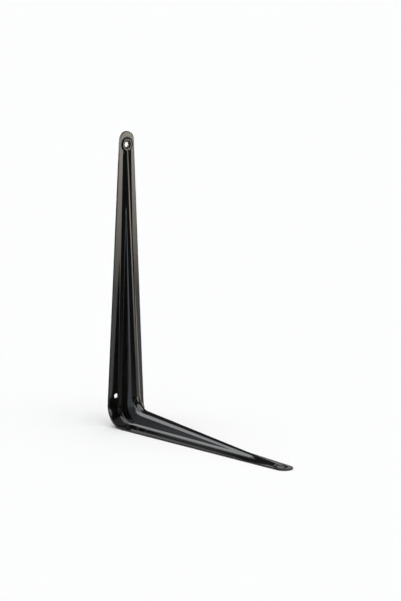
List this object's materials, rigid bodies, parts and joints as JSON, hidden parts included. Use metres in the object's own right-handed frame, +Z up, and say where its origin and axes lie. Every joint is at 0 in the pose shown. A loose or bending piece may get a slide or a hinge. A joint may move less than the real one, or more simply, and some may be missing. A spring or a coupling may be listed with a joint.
{
  "type": "shelf bracket",
  "caption": "Right-angled pressed steel shelf bracket with tapered legs, a hollow stiffening rib, rounded tips and staggered screw holes, in gloss black enamel.",
  "frame": {"origin": "outside corner of the bracket, where the plane of the wall face meets the plane of the shelf face, half way across its width", "axes": "+Z up along the long leg, -Y out along the short leg, +X across the width"},
  "size_m": [0.046, 0.25, 0.3],
  "materials": {
    "enamel": "gloss black enamel over pressed sheet steel"
  },
  "bodies": {
    "root": {"bracket": "enamel"}
  },
  "joints": []
}
